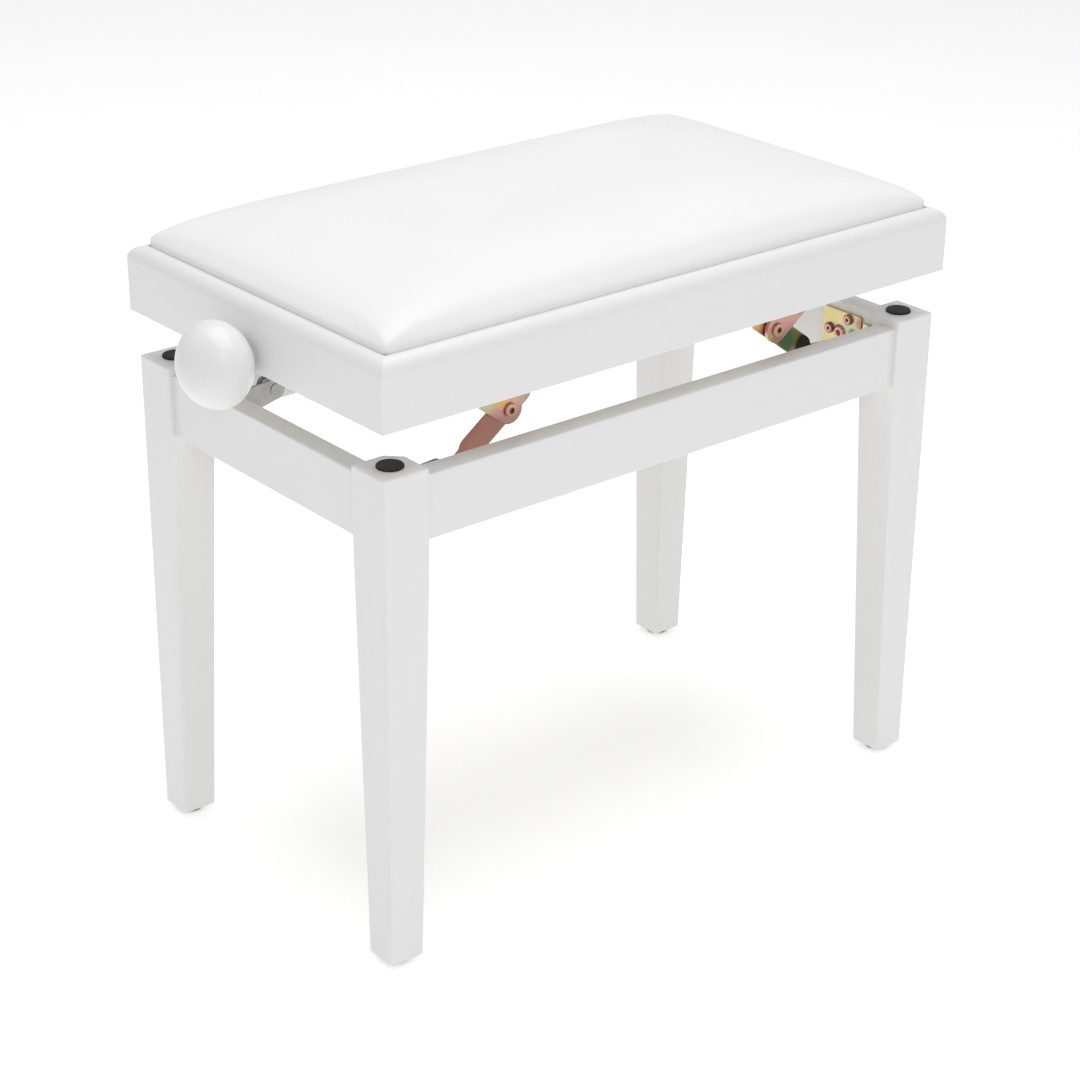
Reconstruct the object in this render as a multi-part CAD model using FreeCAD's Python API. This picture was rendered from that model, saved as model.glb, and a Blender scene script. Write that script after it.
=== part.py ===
import FreeCAD, Part

import math
import os

from FreeCAD import Vector

# Height-adjustable piano bench: a four-legged base and an upholstered seat, joined by two pairs of
# half-scissor links that a hand-turned spindle under the seat spreads or closes.
# Millimetres. X runs along the bench (knob at -X), Y from front to back, Z up.
# The origin is on the floor, midway between the four legs. The seat stands part-way up its travel.

# ---- base ----
BASE_L = 547.0            # over the outer faces of the legs, along X
BASE_W = 312.0            # the same, along Y
LEG_TOP_Z = 397.0
LEG_HEAD = 39.0           # square section of a leg at the aprons
LEG_FOOT = 29.0           # square section at the foot; only the two inner faces taper
TAPER_TOP_Z = 322.0
LEG_ROUND = 2.0           # rounding of a leg's long edges
LEG_TOP_ROUND = 1.2
LEG_CHAMFER = 11.0        # cut off a leg's inner corner, for the corner plate's bolt
LEG_CHAMFER_Z = 338.0
GLIDE_H = 5.0
GLIDE_R = 10.0
NAIL_R = 1.3
NAIL_DEPTH = 14.0
BUMPER_R = 10.0
BUMPER_H = 2.0

APRON_T = 18.0
APRON_INSET = 4.5         # apron face behind the leg's outer face
APRON_BOTTOM_Z = 340.5
APRON_TOP_Z = 390.0
APRON_ROUND = 1.0

PLATE_Z = (346.0, 378.0)      # corner plates
PLATE_FLANGE = 24.0
PLATE_TAB = 6.0
PLATE_OFF_LEG = 1.0           # the plate stands off the chamfer, so that the nut draws the leg in
PLATE_SCREW_R = 1.8
PLATE_SCREW_L = 14.0
PLATE_SCREW_IN = 22.0         # screws this far from the leg along the long apron
PLATE_SCREW_HEAD = (3.6, 2.2)
BOLT_R = 4.0
BOLT_CLEAR = 0.3
BOLT_IN_LEG = 28.0
BOLT_INSIDE = 13.0
NUT_ACROSS = 13.0
NUT_H = 6.5
WASHER_R = 8.5
WASHER_T = 1.6

# ---- seat ----
SEAT_L = 555.0
SEAT_W = 321.0
SEAT_Z = 433.0            # underside of the seat frame
SEAT_TOP_Z = 484.5
RAIL_W = 30.0
RAIL_EDGE_R = 12.0        # rounding along the top outer edge
SEAT_CORNER_R = 1.8
RAIL_SOFTEN = 1.0         # rounding along the bottom outer edge
REBATE_W = 12.0           # outer face to the wall that the cushion sits inside
LEDGE_Z = 464.5           # the seat board lies on this ledge
BOARD_T = 10.0
COVER_T = 1.2
COVER_GAP = 0.4           # between the cover and the rebate's wall
LAYER_GAP = 0.3           # between the cover and what it is stretched over
PLAN_R = 6.0              # corner radius of the cushion's plan
# the cushion's crown: each level's inset from the cover's ends and from its long sides, and its height
CROWN = [
    (0.0, 0.0, 489.0),
    (4.0, 2.5, 494.5),
    (12.0, 8.0, 501.0),
    (26.0, 17.0, 508.0),
    (50.0, 31.0, 514.0),
    (84.0, 50.0, 518.0),
    (130.0, 80.0, 519.5),
]
BLOCK = 36.0              # corner blocks, glued under the board
BLOCK_Z = 446.0
BLOCK_SCREW_IN = 0.3      # screw's place from the corner, as a share of the block's side
BOARD_SCREW_R = 2.0
BOARD_SCREW_DEPTH = 8.0   # how far every screw reaches into the board
BOARD_SCREW_HEAD = (4.0, 2.4)

# ---- lifting mechanism ----
LINK = 66.5               # pivot to pivot on every link; an arm is two of them long
REST_ANGLE = math.radians(36.0)
PIVOT_X = 188.0           # base and seat pivots stand at this distance from the middle
SPINDLE_Z = 443.0
SPINDLE_R = 6.0
PIN_R = 4.0
RUNNING = 0.05            # radial clearance of every pin and shaft that turns
SHEET = 2.0               # sheet steel
STRAP = 3.0               # strap steel

BRACKET_Y = (59.5, 102.0)     # base bracket's plate along the short apron
BRACKET_Z = (341.0, 382.0)
BRACKET_CORNER_R = 3.0
BRACKET_SCREWS = [(67.5, 364.5), (88.0, 377.0), (68.0, 347.5), (93.5, 348.5)]
BRACKET_SCREW_R = 2.1
BRACKET_SCREW_L = 16.0
BRACKET_SCREW_HEAD = (4.5, 2.6)
BOSS = (79.0, 363.5)          # raised boss between the screws
BOSS_R = 6.6
BOSS_TOP_R = 4.6
BOSS_T = 2.0
BOSS_HOLE_R = 2.6
EAR_R = 8.5
EAR_DROP = 5.0                # the ear's top edge at the plate, below its top at the pivot
ARM_Y = (113.0, 116.0)        # layers of the mechanism, from the middle outwards
LINK_Y = (117.2, 120.2)
WEB_Y = (108.0, 111.0)
GAP = 0.3                     # between a moving piece and its neighbour
HEAD_T = 2.0
HEAD_R = 6.0
PEEN_R = 4.8                  # spread end of a base pivot pin
PEEN_T = 0.6
RIVET_R = 5.4                 # heads of the knee rivets
DIMPLE = (2.0, 1.1)           # radius and depth of the mark left in a rivet's outer head
ARM_R = 9.5                   # half the arm's width around the knee
ARM_BASE_R = 6.5
ARM_TIP_R = 7.0
ARM_WAIST = 40.0              # the wide part of the arm runs from this far before the knee
ARM_SHOULDER = 17.0           # to this far past it
LINK_R = 11.0

TRACK_X = 205.0               # half length of the seat-side tracks
TRACK_BOTTOM_Z = 434.5
FLANGE_Y = 88.0
FLANGE_T = 3.0
SLOT_X = (54.0, 147.0)
SLOT_CLEAR = 0.25
BAR = 20.0                    # crossbar section
BAR_END_Y = 106.0
JOURNAL_END_Y = 118.0
NUT_R = 8.0
NUT_FLANGE_R = 12.0
NUT_FLANGE_T = 3.0
HANGER_X = 158.0
HANGER_W = 40.0
HANGER_Z = 430.0
HANGER_FOOT = 25.0
COLLAR_R = 11.0
COLLAR_T = 8.0
TRACK_SCREWS = [(30.0, 96.0), (110.0, 96.0), (190.0, 96.0)]
TRACK_CORNER_R = 8.0

# ---- knob ----
KNOB_X = -305.3               # centre of the knob
KNOB_HALF_DEPTH = 27.0        # along X
KNOB_R = 32.2
KNOB_RIM_R = 22.0             # radius of the profile round the rim; the faces' arcs are tangent to it
KNOB_BACK_X = -279.2          # flat back, beside the seat rail
KNOB_BORE = 30.0
BUSH_R = 8.0
BUSH_FLANGE_R = 9.5
BUSH_FLANGE_T = 1.0
GRUB_X = -290.0
GRUB_R = 2.5
GRUB_L = 8.0
GRUB_ANGLE = math.radians(215.0)

LEG_X = BASE_L / 2
LEG_Y = BASE_W / 2
APRON_IN_X = LEG_X - APRON_INSET - APRON_T
APRON_IN_Y = LEG_Y - APRON_INSET - APRON_T
SEAT_X = SEAT_L / 2
SEAT_Y = SEAT_W / 2
RISE = 2 * LINK * math.sin(REST_ANGLE)
SPREAD = LINK * math.cos(REST_ANGLE)
BASE_PIVOT = (PIVOT_X, SPINDLE_Z - RISE)
KNEE = (PIVOT_X - SPREAD, SPINDLE_Z - RISE / 2)
SEAT_PIVOT = (PIVOT_X, SPINDLE_Z)
NUT = (PIVOT_X - 2 * SPREAD, SPINDLE_Z)
PLATE_MID_Z = sum(PLATE_Z) / 2
PLATE_SCREWS = [(LEG_X - LEG_HEAD - PLATE_SCREW_IN, PLATE_MID_Z + rise) for rise in (-8.0, 8.0)]
BLOCK_SCREW = (SEAT_X - RAIL_W - BLOCK * BLOCK_SCREW_IN, SEAT_Y - RAIL_W - BLOCK * BLOCK_SCREW_IN)
HANGER_SCREWS = [(HANGER_X + STRAP + HANGER_FOOT * 0.6, HANGER_W * 0.32)]
SPINDLE_END_X = HANGER_X + STRAP + GAP + COLLAR_T + 3.0
SIDES = {"left": -1, "right": 1}
ENDS = {"front": -1, "back": 1}


# ---- shapes ----
def box(x, y, z):
    """A block between the low and high value on each axis."""
    size = [high - low for low, high in (x, y, z)]
    return Part.makeBox(*size, Vector(x[0], y[0], z[0]))


def rod(start, end, radius):
    start, end = Vector(*start), Vector(*end)
    return Part.makeCylinder(radius, (end - start).Length, start, end - start)


def rod_y(at, y, radius):
    """A round bar along Y through the point at = (x, z)."""
    return rod((at[0], y[0], at[1]), (at[0], y[1], at[1]), radius)


def tube_y(at, y, outer, inner):
    return rod_y(at, y, outer).cut(rod_y(at, y, inner))


def prism(points, direction):
    face = Part.Face(Part.makePolygon([Vector(*p) for p in points + points[:1]]))
    return face.extrude(Vector(*direction))


def strap_plate(a, b, radius_a, radius_b, y):
    """A flat strap in the XZ plane with a round end of its own radius about each of a and b."""
    dx, dz = b[0] - a[0], b[1] - a[1]
    length = math.hypot(dx, dz)
    along = math.atan2(dz, dx)
    lean = math.acos((radius_a - radius_b) / length)
    corners = [
        (c[0] + r * math.cos(along + side * lean), y[0], c[1] + r * math.sin(along + side * lean))
        for c, r, side in ((a, radius_a, 1), (b, radius_b, 1), (b, radius_b, -1), (a, radius_a, -1))
    ]
    web = prism(corners, (0, y[1] - y[0], 0))
    return fused([web, rod_y(a, y, radius_a), rod_y(b, y, radius_b)])


def fused(shapes):
    return shapes[0].multiFuse(shapes[1:]).removeSplitter()


def without(shape, tools):
    return shape.cut(Part.makeCompound(tools)) if tools else shape


def placed(shape, side, end):
    """A shape modelled at +X, +Y, mirrored to its own side and end."""
    if side < 0:
        shape = shape.mirror(Vector(0, 0, 0), Vector(1, 0, 0))
    if end < 0:
        shape = shape.mirror(Vector(0, 0, 0), Vector(0, 1, 0))
    return shape


def at_corners(shape):
    return Part.makeCompound([placed(shape, side, end) for side in (-1, 1) for end in (-1, 1)])


def at_ends(shape, side):
    return Part.makeCompound([placed(shape, side, end) for end in (-1, 1)])


def edges_where(shape, test):
    return [e for e in shape.Edges if test(e.BoundBox)]


def screw(point, direction, length, radius, head):
    """A pan-head screw: point is under its head, and direction is the way the shank goes."""
    head_radius, head_height = head
    point, direction = Vector(*point), Vector(*direction)
    shank = Part.makeCylinder(radius, length, point, direction)
    head = Part.makeCylinder(head_radius, head_height, point, direction * -1)
    rim = [e for e in head.Edges if (e.BoundBox.Center - point + direction * head_height).Length < 0.01]
    head = head.makeFillet(head_height * 0.45, rim)
    slot_depth = head_height * 0.5
    top = point - direction * head_height
    driver = Part.makeCone(head_radius * 0.42, 0.3, slot_depth, top, direction)
    return shank.fuse(head).cut(driver)


# ---- base ----
def leg_section(size, z):
    """A rounded square whose outer corner is the base's outer corner."""
    r, k = LEG_ROUND, LEG_ROUND * (1 - math.sqrt(0.5))
    x0, x1, y0, y1 = LEG_X - size, LEG_X, LEG_Y - size, LEG_Y
    arcs = [
        ((x1 - r, y0), (x1 - k, y0 + k), (x1, y0 + r)),
        ((x1, y1 - r), (x1 - k, y1 - k), (x1 - r, y1)),
        ((x0 + r, y1), (x0 + k, y1 - k), (x0, y1 - r)),
        ((x0, y0 + r), (x0 + k, y0 + k), (x0 + r, y0)),
    ]
    edges = []
    for i, arc in enumerate(arcs):
        edges.append(Part.Arc(*[Vector(*p, z) for p in arc]).toShape())
        following = arcs[(i + 1) % len(arcs)][0]
        edges.append(Part.LineSegment(Vector(*arc[2], z), Vector(*following, z)).toShape())
    return Part.Wire(edges)


def bolt_line():
    """Where the hanger bolt's axis meets the leg's chamfer, and its direction into the leg."""
    inner_x, inner_y = LEG_X - LEG_HEAD, LEG_Y - LEG_HEAD
    point = Vector(inner_x + LEG_CHAMFER / 2, inner_y + LEG_CHAMFER / 2, PLATE_MID_Z)
    return point, Vector(1, 1, 0).normalize()


def leg():
    foot = Part.makeLoft([leg_section(LEG_FOOT, GLIDE_H), leg_section(LEG_HEAD, TAPER_TOP_Z)], True, True)
    head = Part.Face(leg_section(LEG_HEAD, TAPER_TOP_Z)).extrude(Vector(0, 0, LEG_TOP_Z - TAPER_TOP_Z))
    shape = foot.fuse(head)
    inner_x, inner_y = LEG_X - LEG_HEAD, LEG_Y - LEG_HEAD
    beyond = 5.0
    wedge = [
        (inner_x + LEG_CHAMFER + beyond, inner_y - beyond, LEG_CHAMFER_Z),
        (inner_x - beyond, inner_y + LEG_CHAMFER + beyond, LEG_CHAMFER_Z),
        (inner_x - beyond, inner_y - beyond, LEG_CHAMFER_Z),
    ]
    shape = shape.cut(prism(wedge, (0, 0, LEG_TOP_Z)))
    top = edges_where(shape, lambda b: b.ZMin > LEG_TOP_Z - 0.01)
    shape = shape.makeFillet(LEG_TOP_ROUND, top)
    point, inward = bolt_line()
    bolt_hole = Part.makeCylinder(BOLT_R, BOLT_IN_LEG, point, inward)
    nail_hole = rod((*foot_centre(), GLIDE_H), (*foot_centre(), GLIDE_H + NAIL_DEPTH), NAIL_R)
    return without(shape, [bolt_hole, nail_hole])


def foot_centre():
    return LEG_X - LEG_FOOT / 2, LEG_Y - LEG_FOOT / 2


def head_centre():
    return LEG_X - LEG_HEAD / 2, LEG_Y - LEG_HEAD / 2


def glide():
    x, y = foot_centre()
    disc = rod((x, y, 0), (x, y, GLIDE_H), GLIDE_R)
    rim = edges_where(disc, lambda b: b.ZMax < 0.01)
    disc = disc.makeChamfer(1.2, rim)
    return disc.fuse(rod((x, y, GLIDE_H), (x, y, GLIDE_H + NAIL_DEPTH), NAIL_R))


def bumper():
    x, y = head_centre()
    disc = rod((x, y, LEG_TOP_Z), (x, y, LEG_TOP_Z + BUMPER_H), BUMPER_R)
    rim = edges_where(disc, lambda b: b.ZMin > LEG_TOP_Z + BUMPER_H - 0.01)
    return disc.makeFillet(1.0, rim)


def corner_plate():
    """A bent strip across a corner of the base: flange on the long apron, tab on the short one."""
    face_sum = (LEG_X - LEG_HEAD) + (LEG_Y - LEG_HEAD) + LEG_CHAMFER - PLATE_OFF_LEG * math.sqrt(2)
    back_sum = face_sum - SHEET * math.sqrt(2)
    x, y = APRON_IN_X, APRON_IN_Y
    outline = [
        (face_sum - y - PLATE_FLANGE, y),
        (face_sum - y, y),
        (x, face_sum - x),
        (x, face_sum - x - PLATE_TAB),
        (x - SHEET, face_sum - x - PLATE_TAB),
        (x - SHEET, back_sum - x + SHEET),
        (back_sum - y + SHEET, y - SHEET),
        (face_sum - y - PLATE_FLANGE, y - SHEET),
    ]
    plate = prism([(px, py, PLATE_Z[0]) for px, py in outline], (0, 0, PLATE_Z[1] - PLATE_Z[0]))
    point, inward = bolt_line()
    bolt_hole = Part.makeCylinder(BOLT_R + BOLT_CLEAR, 20.0, point - inward * 10, inward)
    shanks = [rod((sx, y - SHEET, sz), (sx, y, sz), PLATE_SCREW_R) for sx, sz in PLATE_SCREWS]
    return without(plate, [bolt_hole] + shanks)


def plate_screw(x, z):
    start = (x, APRON_IN_Y - SHEET, z)
    return screw(start, (0, 1, 0), PLATE_SCREW_L, PLATE_SCREW_R, PLATE_SCREW_HEAD)


def hanger_bolt():
    point, inward = bolt_line()
    start = point - inward * BOLT_INSIDE
    return Part.makeCylinder(BOLT_R, BOLT_INSIDE + BOLT_IN_LEG, start, inward)


def hanger_nut():
    """A flange nut drawn up against the corner plate."""
    point, inward = bolt_line()
    seat = point - inward * (PLATE_OFF_LEG + SHEET)
    washer = Part.makeCylinder(WASHER_R, WASHER_T, seat, inward * -1)
    base = seat - inward * WASHER_T
    side = inward.cross(Vector(0, 0, 1))
    corners = []
    for i in range(6):
        turn = math.radians(60 * i + 30)
        radial = side * math.cos(turn) + Vector(0, 0, 1) * math.sin(turn)
        corners.append(tuple(base + radial * (NUT_ACROSS / math.sqrt(3))))
    hexagon = prism(corners, tuple(inward * -NUT_H))
    bore = Part.makeCylinder(BOLT_R, 40.0, point, inward * -1)
    return washer.fuse(hexagon).cut(bore)


def long_apron():
    """The back apron; the front one mirrors it."""
    x = LEG_X - LEG_HEAD
    y = (APRON_IN_Y, APRON_IN_Y + APRON_T)
    board = box((-x, x), y, (APRON_BOTTOM_Z, APRON_TOP_Z))
    long_edges = edges_where(board, lambda b: b.XLength > 1.0)
    board = board.makeFillet(APRON_ROUND, long_edges)
    holes = []
    for sx, sz in PLATE_SCREWS:
        for side in (-1, 1):
            depth = PLATE_SCREW_L - SHEET
            holes.append(rod((side * sx, y[0], sz), (side * sx, y[0] + depth, sz), PLATE_SCREW_R))
    return without(board, holes)


def short_apron():
    """The right apron; the left one mirrors it."""
    y = LEG_Y - LEG_HEAD
    x = (APRON_IN_X, APRON_IN_X + APRON_T)
    board = box(x, (-y, y), (APRON_BOTTOM_Z, APRON_TOP_Z))
    board = board.makeFillet(APRON_ROUND, edges_where(board, lambda b: b.YLength > 1.0))
    depth = BRACKET_SCREW_L - SHEET
    holes = []
    for sy, sz in BRACKET_SCREWS:
        for end in (-1, 1):
            holes.append(rod((x[0], end * sy, sz), (x[0] + depth, end * sy, sz), BRACKET_SCREW_R))
    return without(board, holes)


# ---- base brackets and their pivots ----
def base_bracket():
    """A sheet-steel angle on the short apron whose ear carries the arm's base pivot."""
    x_in = APRON_IN_X - SHEET
    plate = box((x_in, APRON_IN_X), BRACKET_Y, BRACKET_Z)
    free_corners = edges_where(plate, lambda b: b.XLength > 1.0 and b.YMax < BRACKET_Y[0] + 0.1)
    plate = plate.makeFillet(BRACKET_CORNER_R, free_corners)
    ear_y = (BRACKET_Y[1] - SHEET, BRACKET_Y[1])
    x, z = BASE_PIVOT
    low_z, high_z = BRACKET_Z[0], z + EAR_R - EAR_DROP
    outline = [(APRON_IN_X, low_z), (APRON_IN_X, high_z), (x, z + EAR_R), (x, z - EAR_R)]
    ear = prism([(px, ear_y[0], pz) for px, pz in outline], (0, SHEET, 0))
    lobe = rod_y(BASE_PIVOT, ear_y, EAR_R)
    boss = Part.makeCone(BOSS_R, BOSS_TOP_R, BOSS_T, Vector(x_in, *BOSS), Vector(-1, 0, 0))
    shape = fused([plate, ear, lobe, boss])
    bend = edges_where(shape, lambda b: b.XMin > APRON_IN_X - 0.01 and b.YMin > BRACKET_Y[1] - 0.01)
    shape = shape.makeFillet(SHEET * 0.8, bend)
    holes = [rod((x_in, *at), (APRON_IN_X, *at), BRACKET_SCREW_R) for at in BRACKET_SCREWS]
    holes.append(rod((x_in - BOSS_T, *BOSS), (APRON_IN_X, *BOSS), BOSS_HOLE_R))
    holes.append(rod_y(BASE_PIVOT, ear_y, PIN_R))
    return without(shape, holes)


def bracket_screw(at):
    start = (APRON_IN_X - SHEET, *at)
    return screw(start, (1, 0, 0), BRACKET_SCREW_L, BRACKET_SCREW_R, BRACKET_SCREW_HEAD)


def base_pin():
    """Headed pin, peened nearly flush inside the bracket's ear; the arm turns on it."""
    ear_in = BRACKET_Y[1] - SHEET
    shank = rod_y(BASE_PIVOT, (ear_in, ARM_Y[1] + GAP), PIN_R)
    peened = rod_y(BASE_PIVOT, (ear_in - PEEN_T, ear_in), PEEN_R)
    outer = rod_y(BASE_PIVOT, (ARM_Y[1] + GAP, ARM_Y[1] + GAP + HEAD_T), HEAD_R)
    return fused([shank, peened, rounded_head(outer, ARM_Y[1] + GAP + HEAD_T)])


def rounded_head(head, face_y):
    rim = edges_where(head, lambda b: abs((b.YMin + b.YMax) / 2 - face_y) < 0.01 and b.YLength < 0.01)
    return head.makeFillet(0.9, rim)


def base_spacer():
    return tube_y(BASE_PIVOT, (BRACKET_Y[1], ARM_Y[0] - GAP), HEAD_R, PIN_R)


# ---- arms and links ----
def lift_arm():
    """A strap with the base pivot, knee and crossbar eye in one line, widest around the knee."""
    along = (-math.cos(REST_ANGLE), math.sin(REST_ANGLE))
    shoulder = (KNEE[0] + along[0] * ARM_SHOULDER, KNEE[1] + along[1] * ARM_SHOULDER)
    waist = (KNEE[0] - along[0] * ARM_WAIST, KNEE[1] - along[1] * ARM_WAIST)
    lower = strap_plate(BASE_PIVOT, waist, ARM_BASE_R, ARM_BASE_R, ARM_Y)
    wide = strap_plate(waist, shoulder, ARM_R, ARM_R, ARM_Y)
    upper = strap_plate(shoulder, NUT, ARM_TIP_R, ARM_TIP_R, ARM_Y)
    shape = fused([lower, wide, upper])
    holes = [
        rod_y(BASE_PIVOT, ARM_Y, PIN_R + RUNNING),
        rod_y(KNEE, ARM_Y, PIN_R),
        rod_y(NUT, ARM_Y, PIN_R + RUNNING),
    ]
    return without(shape, holes)


def knee_rivet():
    """Fixed in the arm; the support link turns on its outer end."""
    head_y = LINK_Y[1] + GAP
    shank = rod_y(KNEE, (ARM_Y[0], head_y), PIN_R)
    inner = rounded_head(rod_y(KNEE, (ARM_Y[0] - HEAD_T, ARM_Y[0]), RIVET_R), ARM_Y[0] - HEAD_T)
    washer = rod_y(KNEE, (ARM_Y[1], LINK_Y[0] - GAP), HEAD_R)
    outer = rounded_head(rod_y(KNEE, (head_y, head_y + HEAD_T), RIVET_R), head_y + HEAD_T)
    dimple = rod_y(KNEE, (head_y + HEAD_T - DIMPLE[1], head_y + HEAD_T), DIMPLE[0])
    return fused([shank, inner, washer, outer]).cut(dimple)


def support_link():
    plate = strap_plate(KNEE, SEAT_PIVOT, LINK_R, LINK_R - 1.5, LINK_Y)
    return without(plate, [rod_y(at, LINK_Y, PIN_R + RUNNING) for at in (KNEE, SEAT_PIVOT)])


def crossbar():
    x, z = NUT
    half = BAR / 2
    bar = box((x - half, x + half), (-BAR_END_Y, BAR_END_Y), (z - half, z + half))
    bar = bar.makeChamfer(1.0, edges_where(bar, lambda b: b.YLength > 1.0))
    spans = [(BAR_END_Y, JOURNAL_END_Y), (-JOURNAL_END_Y, -BAR_END_Y)]
    journals = [rod_y(NUT, span, PIN_R) for span in spans]
    bore = rod((x - half, 0, z), (x + half, 0, z), NUT_R)
    return fused([bar] + journals).cut(bore)


def crossbar_nut():
    x, z = NUT
    half = BAR / 2
    body = rod((x - half, 0, z), (x + half, 0, z), NUT_R)
    flange = rod((x + half, 0, z), (x + half + NUT_FLANGE_T, 0, z), NUT_FLANGE_R)
    bore = rod((x - BAR, 0, z), (x + BAR, 0, z), SPINDLE_R + RUNNING)
    return fused([body, flange]).cut(bore)


def crossbar_clip():
    start = ARM_Y[1] + GAP
    return tube_y(NUT, (start, start + 1.0), HEAD_R, PIN_R)


# ---- seat ----
def rail_moulding(length):
    """The seat frame's moulding at +Y, swept along X, before it is mitred."""
    y = SEAT_Y
    r, s = RAIL_EDGE_R, RAIL_SOFTEN
    bend = math.sqrt(0.5)
    edges = [
        Part.LineSegment(Vector(0, y - RAIL_W, SEAT_Z), Vector(0, y - s, SEAT_Z)),
        Part.Arc(
            Vector(0, y - s, SEAT_Z),
            Vector(0, y - s + s * bend, SEAT_Z + s - s * bend),
            Vector(0, y, SEAT_Z + s),
        ),
        Part.LineSegment(Vector(0, y, SEAT_Z + s), Vector(0, y, SEAT_TOP_Z - r)),
        Part.Arc(
            Vector(0, y, SEAT_TOP_Z - r),
            Vector(0, y - r + r * bend, SEAT_TOP_Z - r + r * bend),
            Vector(0, y - r, SEAT_TOP_Z),
        ),
        Part.LineSegment(Vector(0, y - REBATE_W, SEAT_TOP_Z), Vector(0, y - REBATE_W, LEDGE_Z)),
        Part.LineSegment(Vector(0, y - REBATE_W, LEDGE_Z), Vector(0, y - RAIL_W, LEDGE_Z)),
        Part.LineSegment(Vector(0, y - RAIL_W, LEDGE_Z), Vector(0, y - RAIL_W, SEAT_Z)),
    ]
    face = Part.Face(Part.Wire([e.toShape() for e in edges]))
    face.translate(Vector(-length / 2, 0, 0))
    return face.extrude(Vector(length, 0, 0))


def seat_outline():
    """A prism of the seat's plan, with its corners rounded."""
    block = box((-SEAT_X, SEAT_X), (-SEAT_Y, SEAT_Y), (SEAT_Z, SEAT_TOP_Z))
    return block.makeFillet(SEAT_CORNER_R, edges_where(block, lambda b: b.ZLength > 1.0))


def mitred(shape, half_length, half_width):
    """Keeps the part of a +Y rail between the two 45-degree mitre planes."""
    reach = half_length - half_width
    plan = [(-half_length, half_width), (half_length, half_width), (reach, 0), (-reach, 0)]
    return shape.common(prism([(x, y, SEAT_Z - 1) for x, y in plan], (0, 0, 100)))


def long_rail():
    return mitred(rail_moulding(SEAT_L), SEAT_X, SEAT_Y).common(seat_outline())


def short_rail():
    """The right rail: the same moulding on the seat's short side."""
    shape = rail_moulding(SEAT_W)
    shape.translate(Vector(0, SEAT_X - SEAT_Y, 0))
    plan = [(-SEAT_Y, SEAT_X), (SEAT_Y, SEAT_X), (0, SEAT_X - SEAT_Y)]
    wedge = prism([(x, y, SEAT_Z - 1) for x, y in plan], (0, 0, 100))
    shape = shape.common(wedge)
    shape.rotate(Vector(0, 0, 0), Vector(0, 0, 1), -90)
    return shape.common(seat_outline())


def left_rail():
    """The left rail is bored for the spindle's bush."""
    hole = rod((-SEAT_X, 0, SPINDLE_Z), (-SEAT_X + RAIL_W, 0, SPINDLE_Z), BUSH_R)
    return placed(short_rail(), -1, 1).cut(hole)


def rounded_plan(half_x, half_y, radius, z):
    k = radius * (1 - math.sqrt(0.5))
    edges = []
    quarter = [(1, -1), (1, 1), (-1, 1), (-1, -1)]
    for i, (sx, sy) in enumerate(quarter):
        start, end = (sx * (half_x - radius), sy * half_y), (sx * half_x, sy * (half_y - radius))
        if sx * sy > 0:
            start, end = end, start
        middle = (sx * (half_x - k), sy * (half_y - k))
        edges.append(Part.Arc(Vector(*start, z), Vector(*middle, z), Vector(*end, z)).toShape())
        nx, ny = quarter[(i + 1) % 4]
        following = (nx * (half_x - radius), ny * half_y)
        if nx * ny > 0:
            following = (nx * half_x, ny * (half_y - radius))
        edges.append(Part.LineSegment(Vector(*end, z), Vector(*following, z)).toShape())
    return Part.Wire(edges)


def seat_board():
    inset = REBATE_W + COVER_GAP + COVER_T + LAYER_GAP
    half_x, half_y = SEAT_X - inset, SEAT_Y - inset
    board = box((-half_x, half_x), (-half_y, half_y), (LEDGE_Z, LEDGE_Z + BOARD_T))
    corner_r = PLAN_R - COVER_T - LAYER_GAP
    board = board.makeFillet(corner_r, edges_where(board, lambda b: b.ZLength > 1.0))
    holes = [
        rod((sx * x, sy * y, LEDGE_Z), (sx * x, sy * y, LEDGE_Z + BOARD_SCREW_DEPTH), BOARD_SCREW_R)
        for x, y in [BLOCK_SCREW] + TRACK_SCREWS + HANGER_SCREWS
        for sx in (-1, 1)
        for sy in (-1, 1)
    ]
    return without(board, holes)


def crowned(low, shrink):
    """A closed form with straight sides up to the first level of CROWN, drawn in all round by shrink."""
    half_x, half_y = SEAT_X - REBATE_W - COVER_GAP, SEAT_Y - REBATE_W - COVER_GAP
    levels = [(0.0, 0.0, low)] + [(end, side, z - shrink) for end, side, z in CROWN]
    sections = []
    for end, side, z in levels:
        plan = (half_x - shrink - end, half_y - shrink - side)
        sections.append(rounded_plan(*plan, PLAN_R - shrink, z))
    return Part.makeLoft(sections, True, True)


def seat_cover():
    """The cover, drawn over the foam and the board's edges, open underneath."""
    return crowned(LEDGE_Z, 0.0).cut(crowned(LEDGE_Z - 1.0, COVER_T))


def seat_foam():
    return crowned(LEDGE_Z + BOARD_T, COVER_T + LAYER_GAP)


def corner_block():
    x, y = SEAT_X - RAIL_W, SEAT_Y - RAIL_W
    plan = [(x, y, BLOCK_Z), (x - BLOCK, y, BLOCK_Z), (x, y - BLOCK, BLOCK_Z)]
    block = prism(plan, (0, 0, LEDGE_Z - BLOCK_Z))
    return block.cut(rod((*BLOCK_SCREW, BLOCK_Z), (*BLOCK_SCREW, LEDGE_Z), BOARD_SCREW_R))


def board_screw(x, y, z):
    """A screw whose head is under z and whose tip is in the seat board."""
    length = LEDGE_Z + BOARD_SCREW_DEPTH - z
    return screw((x, y, z), (0, 0, 1), length, BOARD_SCREW_R, BOARD_SCREW_HEAD)


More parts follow.
